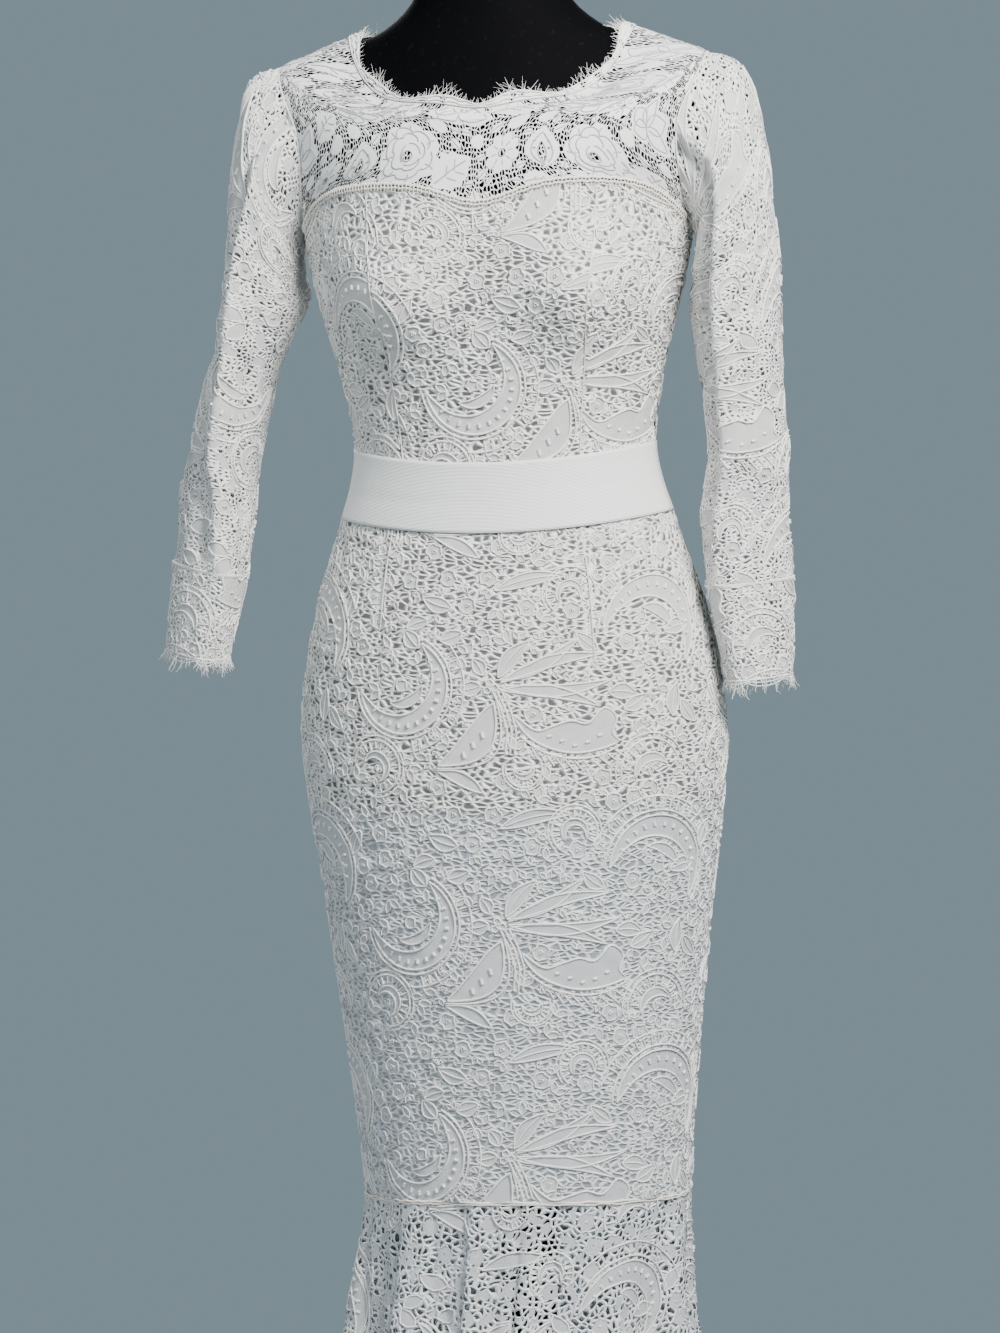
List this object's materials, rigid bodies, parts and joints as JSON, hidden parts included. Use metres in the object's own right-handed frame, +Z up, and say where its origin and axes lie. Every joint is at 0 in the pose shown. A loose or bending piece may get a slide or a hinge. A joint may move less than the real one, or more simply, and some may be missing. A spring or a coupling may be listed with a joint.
{
  "type": "lace wedding dress on a limbless dress form",
  "caption": "Fitted white lace wedding gown with sheer yoke, sleeves and flounce, on a black limbless dress form with a pole and a round foot.",
  "frame": {"origin": "on the floor under the pole's axis, at the middle of the round foot's underside", "axes": "+Z up along the pole; -Y is the dress's front; +X is the viewer's right as one faces the front"},
  "size_m": [0.5093, 0.3879, 1.4953],
  "materials": {
    "lace": "white corded lace, matte with a faint sheen",
    "lining": "soft white satin lining",
    "ribbon": "fine-ribbed white ribbon",
    "form_shell": "glossy black",
    "stand_metal": "black enamel",
    "zip": "white enamel"
  },
  "bodies": {
    "dress_and_form": {"belt_back_left": "ribbon", "belt_back_right": "ribbon", "belt_front": "ribbon", "binding_back_left": "lace", "binding_back_right": "lace", "binding_front": "lace", "bodice_lace_back_left": "lace", "bodice_lace_back_right": "lace", "bodice_lace_front_centre": "lace", "bodice_lace_side_front_left": "lace", "bodice_lace_side_front_right": "lace", "bodice_lining_back_left": "lining", "bodice_lining_back_right": "lining", "bodice_lining_front": "lining", "cuff_edge_left": "lace", "cuff_edge_right": "lace", "cuff_left_back": "lace", "cuff_left_front": "lace", "cuff_right_back": "lace", "cuff_right_front": "lace", "flounce_back": "lace", "flounce_front": "lace", "form_neck_cap": "form_shell", "form_torso": "form_shell", "neckline_border_back_left": "lace", "neckline_border_back_right": "lace", "neckline_border_front": "lace", "skirt_lace_back_left": "lace", "skirt_lace_back_right": "lace", "skirt_lace_front": "lace", "skirt_lining_back_left": "lining", "skirt_lining_back_right": "lining", "skirt_lining_front": "lining", "sleeve_left_back": "lace", "sleeve_left_front": "lace", "sleeve_right_back": "lace", "sleeve_right_front": "lace", "stand_collar": "stand_metal", "stand_foot": "stand_metal", "stand_hub": "stand_metal", "stand_pole": "stand_metal", "yoke_back_left": "lace", "yoke_back_right": "lace", "yoke_front": "lace", "zip_slider": "zip"},
    "pull_tab": {"zip_pull": "zip"}
  },
  "joints": [
    {"name": "pull_tab_hinge", "type": "hinge", "parent": "dress_and_form", "child": "pull_tab", "pos_m": [0, 0.09347, 1.38068], "axis": [1, 0, 0], "range_deg": [0, 165]}
  ]
}
